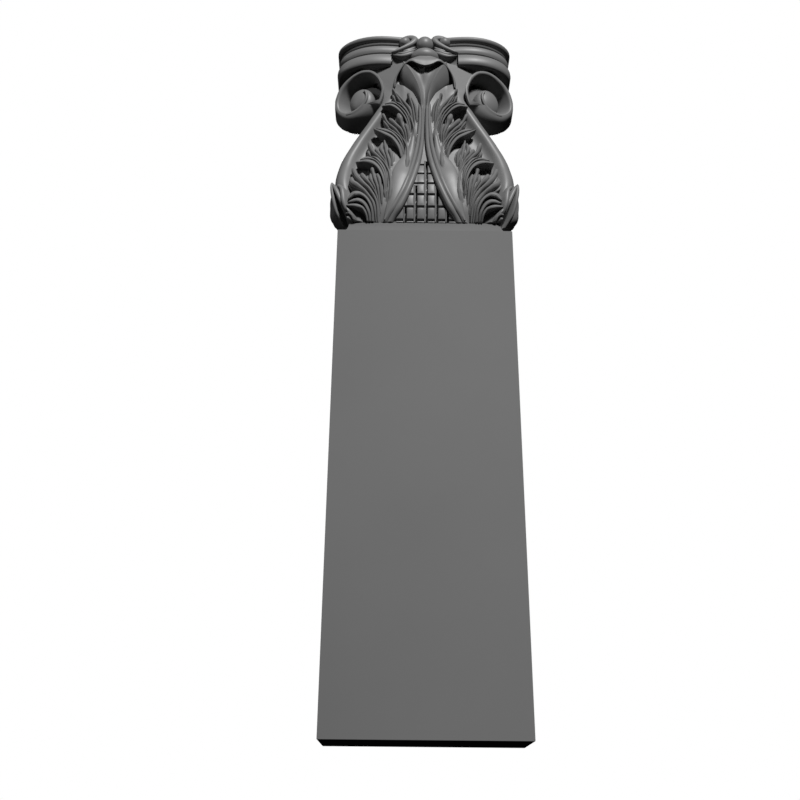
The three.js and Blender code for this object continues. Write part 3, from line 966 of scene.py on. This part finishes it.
# %% The abacus
bow, corner_depth, hollow = 40.5, 26.0, 3.0
plan = [(half_abacus, wall), (half_abacus, 12), (half_abacus, -4)]
for step in range(15):
    turn = math.pi / 2 * step / 14
    plan.append((bow + (half_abacus - bow) * math.cos(turn),
                 abacus_front + corner_depth * (1 - math.sin(turn))))
for step in range(1, 9):
    x = bow * (1 - step / 8)
    plan.append((x, abacus_front + hollow * (1 + math.cos(math.pi * x / bow)) / 2))
plan += [(-x, y) for x, y in reversed(plan[:-1])]
moulding = [
    (0.8, 6), (0.8, 2.4), (1.5, 1.4), (3.5, 0.4), (6.5, 0), (9.5, 0.3), (12, 1.2), (14, 3.0),
    (15.2, 6.0), (15.9, 3.2), (17.4, 2.2), (19.4, 1.8), (21.6, 1.9), (23, 2.4), (24.2, 3.4),
    (24.8, 6.4),
    (25.6, 6.0), (26.1, 3.4), (27, 2.8), (27.7, 3.3), (28.1, 6.2),
    (28.7, 6.0), (29, 2.8), (29.6, 1.3), (30.6, 0.4), (31.7, 0.0), (32.7, 0.0), (33.4, 0.5),
]


def abacus_place(i, t):
    x, y = plan[i % len(plan)]
    height, back = moulding[round(t * (len(moulding) - 1))]
    return Vector((
        x * (1 - back / half_abacus),
        wall - (wall - y) * (1 - back / (wall - abacus_front)),
        abacus_bottom + height,
    ))


abacus = skin(len(plan), len(moulding) - 1, abacus_place)
shut(abacus)
niche_width, niche_deep, niche_height, niche_length = 62.4, 9.0, 15.2, 40
niche = bmesh.new()
bmesh.ops.create_cube(niche, size=1)
bmesh.ops.scale(niche, verts=niche.verts, vec=(niche_width, niche_length, niche_height))
bmesh.ops.translate(niche, verts=niche.verts, vec=(
    0, abacus_front + niche_deep - niche_length / 2, abacus_bottom + niche_height / 2))
abacus_mesh = boolean(mesh_object(abacus, "abacus"), [mesh_object(niche, "niche")], "DIFFERENCE")
forms.append(bpy.data.objects.new("abacus", abacus_mesh))
print("abacus:", len(abacus_mesh.polygons), "faces")

# %% [markdown]
# ## Hood
# The tip of the middle leaf curls forward over the petals. Its front edge is a wavy line
# that dips in the middle and drops at both sides, and under it the petals stay dark. The
# skin runs along that edge; round it go the curved face, the part let into the abacus, and
# the hollow underside.

# %% The hood
half_rim = [
    (0, 155, 10.6), (3.6, 155.6, 10.6), (7.5, 157.2, 10.4), (10.9, 159.2, 10.2),
    (14.1, 159.8, 9.4), (17.2, 159, 7.4), (21.1, 156.6, 4.2), (24.1, 152.9, 2.6),
    (26, 149, 1.4), (26.9, 145.1, 0.6), (27.2, 141.5, -0.5),
]
half_root = [
    (0, 168.5, 6.5), (4.5, 168.2, 6.5), (9.1, 166.6, 6.5), (13.2, 164.8, 6), (16.4, 163, 5),
    (19.5, 161, 3.6), (22.8, 157.6, 2), (25.8, 153.6, 0.4), (27.8, 149.4, -0.6),
    (28.8, 145.2, -1.2), (28.8, 141, -2),
]
face_steps = 8


def whole_path(half):
    other = [(-x, height, lift) for x, height, lift in half[:0:-1]]
    return bell_path(other + half)


rim_path, root_path = whole_path(half_rim), whole_path(half_root)


def hood_place(i, t):
    rim, root = rim_path(t)[0], root_path(t)[0]
    i %= face_steps + 4
    if i <= face_steps:
        share = i / face_steps
        bulge = 1.6 * math.sin(math.pi * share) * math.sin(math.pi * t) ** 0.4
        return rim.lerp(root, share) + front * bulge
    if i == face_steps + 1:
        return root + Vector((0, 16, 2))
    if i == face_steps + 2:
        return Vector((rim.x * 0.93, rim.y + 14, rim.z + 5))
    return Vector((rim.x * 0.985, rim.y + 1.6, rim.z + 1.0))


store(skin(face_steps + 4, 80, hood_place), "hood")
print("forms so far:", len(forms))

# %% [markdown]
# ## Ball, dome and scrolls
# On the abacus sit a ball over a flat dome, and on each side of them a small scroll that
# curls round a bead, with a few leaf folds under it. Ball, dome and bead are spheres; the
# scroll is a strand that follows the curl.

# %% Ball, dome, beads and scrolls
def round_form(name, centre, radii, both=False):
    sphere = bmesh.new()
    bmesh.ops.create_uvsphere(sphere, u_segments=32, v_segments=18, radius=1)
    bmesh.ops.scale(sphere, verts=sphere.verts, vec=radii)
    bmesh.ops.translate(sphere, verts=sphere.verts, vec=centre)
    store(sphere, name, both)


round_form("dome", (0, -34.0, abacus_bottom + 8.0), (13.4, 12.2, 8.6))
round_form("ball", (0, -38.5, abacus_bottom + 20.7), (8, 8, 8))
round_form("bead", (18.6, -36.6, abacus_bottom + 25.8), (5.2, 5.2, 5.2), True)


def on_abacus(x, height, y):
    return Vector((x, y, abacus_bottom + height))


curl = through([on_abacus(*spot) for spot in [
    (31, 11.2, -38), (24.6, 14.2, -39), (17.6, 18.2, -39.5), (11.8, 22.8, -39.5), (9.2, 27.4, -39),
    (11.4, 30.4, -38), (15.6, 31.4, -37), (20, 30.4, -36), (23.4, 27.2, -35),
]])
curl_width = smooth([(0, 1), (0.1, 3.0), (0.3, 4.0), (0.5, 5.2), (0.65, 5.6), (0.85, 4.2), (1, 2)])
store(strand(curl, curl_width, even(2.2, 0.8), root=9, crown=8, steps=40), "scroll", True)
folds = [
    [(30, 9.6, -36.5), (21, 8.4, -38), (13, 11.2, -38), (9, 14.5, -36)],
    [(27, 12, -36.5), (20, 11.6, -37.6), (12.5, 14.6, -37.6), (8.4, 17.4, -36)],
    [(24, 14, -36.5), (16, 15.4, -37.4), (8.6, 19.6, -36.5)],
]
fold_width = smooth([(0, 1), (0.4, 3.6), (0.8, 3.4), (1, 1)])
for fold in folds:
    fold_path = through([on_abacus(*spot) for spot in fold])
    store(strand(fold_path, fold_width, even(1.8), root=8, steps=16), "fold", True)
print("forms so far:", len(forms))

# %% [markdown]
# The ornament stands on a block in the abacus's niche. Its face is a small cove that hangs
# forward, so it stays in half shade. The block is a little narrower than the niche, and
# the gap at each end shows as a black line.

# %% The block
block_length = 60.2
block_section = [
    (-36.4, 13), (-38.4, 11.6), (-37.8, 10.4), (-35.4, 8.4), (-33.2, 5.6), (-31.8, 2.6),
    (-31.4, 0.5), (-22, 0.5), (-22, 13),
]


def block_place(i, t):
    y, height = block_section[i % len(block_section)]
    return Vector((block_length * (t - 0.5), y, abacus_bottom + height))


store(skin(len(block_section), 4, block_place), "block")
print("forms in all:", len(forms))

# %% [markdown]
# ## One skin
# All forms are joined into one closed skin, so no hidden faces stay inside, and what lies
# below the bed, above the top or behind the wall is cut away: the capital keeps the place
# of its solid. The skin is then brought to metres.

# %% Join and trim
joined = boolean(bpy.data.objects.new("capital_carving", bell_mesh), forms, "UNION")
room = bmesh.new()
margin = 0.05
bmesh.ops.create_cube(room, size=1)
low = Vector((capital_low.x + margin, capital_low.y + margin, bed))
high = Vector((capital_high.x - margin, wall, top))
bmesh.ops.scale(room, verts=room.verts, vec=high - low)
bmesh.ops.translate(room, verts=room.verts, vec=(low + high) / 2)
whole = bpy.data.objects.new("capital_carving", joined)
trimmed = boolean(whole, [mesh_object(room, "room")], "INTERSECT")
trimmed.name = "capital_carving"
trimmed.validate()
print("one skin:", len(trimmed.polygons), "faces")

# %% [markdown]
# ## Smooth faces, sharp cuts
# Round surfaces shade smoothly, and the bottoms of the V cuts stay sharp. The angle
# between two faces decides it.

# %% Shade and place the carving
trimmed.transform(Matrix.Scale(to_metres, 4))
trimmed.shade_smooth()
trimmed.set_sharp_from_angle(angle=math.radians(38))
carving = bpy.data.objects.new("capital_carving", trimmed)
bpy.context.scene.collection.objects.link(carving)
print("carving placed:", len(carving.data.vertices), "corners")

# %% [markdown]
# ## Shaft
# The shaft is a plain slab with a cove at its head. The solid has the right outline, but
# its cove is faceted and its edges are razor sharp, so a slab with a finely stepped cove
# and slightly eased edges takes its place.

# %% The shaft
cove_rise, cove_steps = 13.6, 16
eased_edge = 0.35
half_shaft, shaft_top = shaft_high.x, shaft_high.z


def shaft_place(i, t):
    level = round(t * (cove_steps + 1))
    turn = max(0, level - 1) / cove_steps * math.pi / 2
    step_in = cove_in * math.sin(turn) if level > 1 else 0.0
    z = shaft_top - cove_rise * math.cos(turn) if level else 0.0
    x = (half_shaft - step_in) * (1 if i % 4 in (0, 1) else -1)
    y = wall if i % 4 in (1, 2) else -wall + step_in
    return Vector((x, y, z))


shaft_skin = skin(4, cove_steps + 1, shaft_place)
shut(shaft_skin)
edges = [edge for edge in shaft_skin.edges if edge.calc_face_angle(0) > math.radians(60)]
bmesh.ops.bevel(shaft_skin, geom=edges, offset=eased_edge, offset_type="OFFSET", segments=2,
                profile=0.5, affect="EDGES", material=-1)
bmesh.ops.scale(shaft_skin, verts=shaft_skin.verts, vec=(to_metres,) * 3)
shaft = mesh_object(shaft_skin, "shaft_slab")
shaft.data.shade_smooth()
shaft.data.set_sharp_from_angle(angle=math.radians(30))
bpy.context.scene.collection.objects.link(shaft)
print("shaft:", len(shaft.data.polygons), "faces")

# %% [markdown]
# ## Paint
# The real surface is one even, satin grey. Here the capital's grey is set lighter and the shaft's
# darker than that one grey, which paints light on the capital and shade on the shaft. A single
# flat colour would look like plastic, so a wide soft noise moves the tone a little, a fine one
# roughens it, and a slight bump gives the brushed film some body.

# %% The grey paint
def grey_paint(name, tone, roughness, shine):
    made, nodes, links = closed_material(name)
    shader = nodes.new("ShaderNodeBsdfPrincipled")
    out = nodes.new("ShaderNodeOutputMaterial")
    place = nodes.new("ShaderNodeTexCoord")
    shader.inputs["Specular IOR Level"].default_value = shine
    links.new(shader.outputs[0], out.inputs["Surface"])

    def noise(scale, detail):
        made_noise = nodes.new("ShaderNodeTexNoise")
        made_noise.inputs["Scale"].default_value = scale
        made_noise.inputs["Detail"].default_value = detail
        links.new(place.outputs["Object"], made_noise.inputs["Vector"])
        return made_noise.outputs["Fac"]

    def spread(source, low, high):
        spreader = nodes.new("ShaderNodeMapRange")
        spreader.inputs["To Min"].default_value = low
        spreader.inputs["To Max"].default_value = high
        links.new(source, spreader.inputs["Value"])
        return spreader.outputs["Result"]

    shade = nodes.new("ShaderNodeCombineColor")
    value = spread(noise(9, 3), tone * 0.94, tone * 1.06)
    for channel in ("Red", "Green", "Blue"):
        links.new(value, shade.inputs[channel])
    links.new(shade.outputs["Color"], shader.inputs["Base Color"])
    gloss = spread(noise(160, 2), roughness - 0.04, roughness + 0.04)
    links.new(gloss, shader.inputs["Roughness"])
    bump = nodes.new("ShaderNodeBump")
    bump.inputs["Strength"].default_value = 0.12
    bump.inputs["Distance"].default_value = 0.0002
    links.new(noise(700, 2), bump.inputs["Height"])
    links.new(bump.outputs["Normal"], shader.inputs["Normal"])
    return made


carving.data.materials.clear()
# The capital's tone is lighter and the shaft's darker than the one real grey: painted light on the
# capital, painted shade on the shaft.
carving.data.materials.append(grey_paint("capital_grey_painted_light", 0.142, 0.48, 0.4))
shaft.data.materials.append(grey_paint("shaft_grey_painted_shade", 0.113, 0.75, 0.06))
print("paint on both pieces")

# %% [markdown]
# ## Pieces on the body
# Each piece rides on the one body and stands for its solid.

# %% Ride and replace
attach(carving, "root")
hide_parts("capital")
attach(shaft, "root")
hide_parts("shaft")
